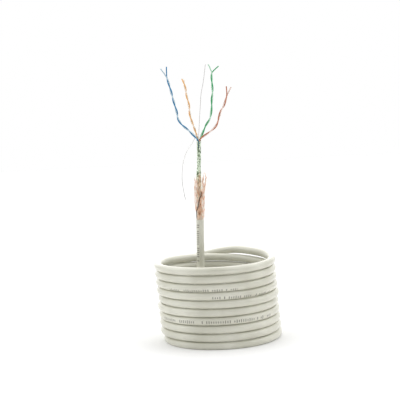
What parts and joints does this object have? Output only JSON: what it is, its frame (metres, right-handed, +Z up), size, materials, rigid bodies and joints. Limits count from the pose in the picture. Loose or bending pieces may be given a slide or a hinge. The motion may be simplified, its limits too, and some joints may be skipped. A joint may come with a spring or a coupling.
{
  "type": "coil of shielded network cable",
  "caption": "Round shielded network cable wound in a free-standing stack of turns, with one end standing up and stripped to show its braid, foil and coloured twisted pairs.",
  "frame": {"origin": "middle of the bounding box at the floor that the coil stands on", "axes": "+Z up, along the standing end; +X to the right and +Y away as the picture is seen"},
  "size_m": [0.113, 0.1166, 0.2484],
  "materials": {
    "jacket_pvc": "ivory-grey PVC with a soft satin sheen",
    "copper": "bare bright copper wire, a little dulled",
    "foil": "crumpled aluminium foil, greyed",
    "tinned_wire": "tinned copper wire",
    "thread": "pale polyester thread",
    "white_pe": "white polyethylene insulation",
    "blue_pe": "blue polyethylene insulation",
    "orange_pe": "orange polyethylene insulation",
    "green_pe": "green polyethylene insulation",
    "brown_pe": "reddish-brown polyethylene insulation"
  },
  "bodies": {
    "root": {"coil_jacket": "jacket_pvc", "lead_in_jacket": "jacket_pvc", "riser_jacket": "jacket_pvc", "tail_jacket": "jacket_pvc", "braid_sleeve": "copper", "braid_strands": "copper", "foil_shield": "foil", "drain_wire": "tinned_wire", "rip_cord": "thread", "blue_insulation": "blue_pe", "blue_mate_insulation": "white_pe", "blue_conductor": "copper", "blue_mate_conductor": "copper", "orange_insulation": "orange_pe", "orange_mate_insulation": "white_pe", "orange_conductor": "copper", "orange_mate_conductor": "copper", "green_insulation": "green_pe", "green_mate_insulation": "white_pe", "green_conductor": "copper", "green_mate_conductor": "copper", "brown_insulation": "brown_pe", "brown_mate_insulation": "white_pe", "brown_conductor": "copper", "brown_mate_conductor": "copper", "tail_braid": "copper", "tail_foil": "foil", "tail_insulation": "white_pe", "tail_conductors": "copper"}
  },
  "joints": []
}
